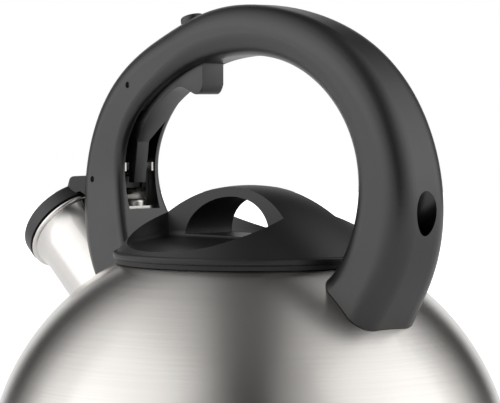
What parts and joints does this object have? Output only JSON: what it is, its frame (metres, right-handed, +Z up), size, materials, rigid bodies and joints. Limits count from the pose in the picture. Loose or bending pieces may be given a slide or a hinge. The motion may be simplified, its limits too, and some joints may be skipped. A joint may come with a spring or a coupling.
{
  "type": "stovetop whistling kettle",
  "caption": "Domed steel stovetop kettle with a tall arched handle, a finger trigger that opens a whistling spout cover, and a lift-off lid.",
  "frame": {"origin": "centre of the base's underside, on the body's axis", "axes": "+Z up, -X towards the spout, the handle's arch lies in the XZ plane"},
  "size_m": [0.2353, 0.208, 0.2291],
  "materials": {
    "body_steel": "satin, brushed around the body",
    "disc_aluminium": "plain",
    "base_steel": "satin",
    "spout_steel": "finely brushed, brighter than the body",
    "fixing_steel": "plain zinc plated",
    "handle_plastic": "black, matt to satin",
    "bracket_steel": "bright sheet",
    "trigger_plastic": "black, matt to satin",
    "cover_plastic": "black, matt to satin",
    "cover_silicone": "matt",
    "whistle_steel": "plain",
    "spring_steel": "bright wire",
    "lid_plastic": "black, matt to satin",
    "lid_steel": "satin",
    "lid_silicone": "matt, translucent grey"
  },
  "bodies": {
    "kettle": {"body_shell": "body_steel", "base_pan": "body_steel", "heat_disc": "disc_aluminium", "base_cap": "base_steel", "spout_tube": "spout_steel", "rear_boss": "fixing_steel", "front_boss": "fixing_steel", "handle": "handle_plastic", "front_bracket": "bracket_steel", "front_screw": "fixing_steel", "rear_screw": "fixing_steel", "trigger_pin": "fixing_steel", "cover_pin": "fixing_steel", "cover_spring": "spring_steel"},
    "trigger": {"trigger": "trigger_plastic"},
    "cover": {"spout_cover": "cover_plastic", "drive_pin": "fixing_steel", "cover_seal": "cover_silicone", "whistle_back_plate": "whistle_steel", "whistle_spacer": "whistle_steel", "whistle_front_plate": "whistle_steel"},
    "lid": {"lid_cover": "lid_plastic", "lid_plate": "lid_steel", "lid_seal": "lid_silicone", "lid_screws": "fixing_steel"}
  },
  "joints": [
    {"name": "cover_open", "type": "hinge", "parent": "kettle", "child": "cover", "pos_m": [-0.0859, 0, 0.1587], "axis": [0, 1, 0], "range_deg": [0, 36], "stiffness_Nm_per_rad": 0.05, "springref_deg": -28.65, "deforming": ["cover_spring"]},
    {"name": "trigger_squeeze", "type": "hinge", "parent": "kettle", "child": "trigger", "pos_m": [-0.0624, 0, 0.1978], "axis": [0, -1, 0], "range_deg": [0, 13.3]},
    {"name": "lid_lift", "type": "slide", "parent": "kettle", "child": "lid", "axis": [0, 0, 1], "range_m": [0, 0.03]}
  ],
  "couplings": [
    {"joint": "trigger_squeeze", "follows": "cover_open", "ratio": 0.3694}
  ]
}
